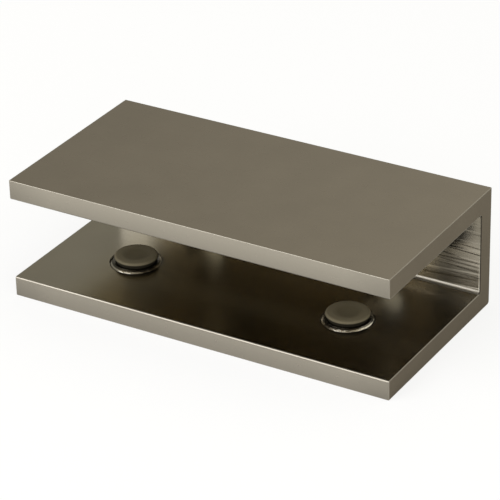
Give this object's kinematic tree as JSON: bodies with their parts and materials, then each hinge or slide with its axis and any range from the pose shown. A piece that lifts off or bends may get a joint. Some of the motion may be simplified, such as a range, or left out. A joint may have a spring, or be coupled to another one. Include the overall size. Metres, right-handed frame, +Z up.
{
  "type": "glass clamp",
  "caption": "U-shaped clamp that fixes the edge of a glass shelf to a wall, with grub screws in the lower jaw that lift swivel pads against the glass.",
  "frame": {"origin": "middle of the flat back face that lies against the wall", "axes": "+X along the channel, +Y into the wall, +Z up, with the screws in the lower jaw"},
  "size_m": [0.08, 0.04, 0.0244],
  "materials": {
    "body_plate": "satin nickel plate over milled brass, warm grey",
    "screw_steel": "plated steel, the colour of the body",
    "pad_rubber": "hard matte rubber, dark olive grey"
  },
  "bodies": {
    "clamp": {"clamp_body": "body_plate"},
    "left_pad": {"screw_pad_left": "pad_rubber"},
    "left_screw": {"clamp_screw_left": "screw_steel"},
    "right_pad": {"screw_pad_right": "pad_rubber"},
    "right_screw": {"clamp_screw_right": "screw_steel"}
  },
  "joints": [
    {"name": "left_pad_rise", "type": "slide", "parent": "clamp", "child": "left_pad", "axis": [0, 0, 1], "range_m": [-0.0015, 0.002]},
    {"name": "left_screw_turn", "type": "hinge", "parent": "left_pad", "child": "left_screw", "pos_m": [-0.023, -0.024, -0.0102], "axis": [0, 0, 1], "range_deg": [-540, 720]},
    {"name": "right_pad_rise", "type": "slide", "parent": "clamp", "child": "right_pad", "axis": [0, 0, 1], "range_m": [-0.0015, 0.002]},
    {"name": "right_screw_turn", "type": "hinge", "parent": "right_pad", "child": "right_screw", "pos_m": [0.023, -0.024, -0.0102], "axis": [0, 0, 1], "range_deg": [-540, 720]}
  ],
  "couplings": [
    {"joint": "left_screw_turn", "follows": "left_pad_rise", "rad_per_m": 6283.2},
    {"joint": "right_screw_turn", "follows": "right_pad_rise", "rad_per_m": 6283.2}
  ]
}
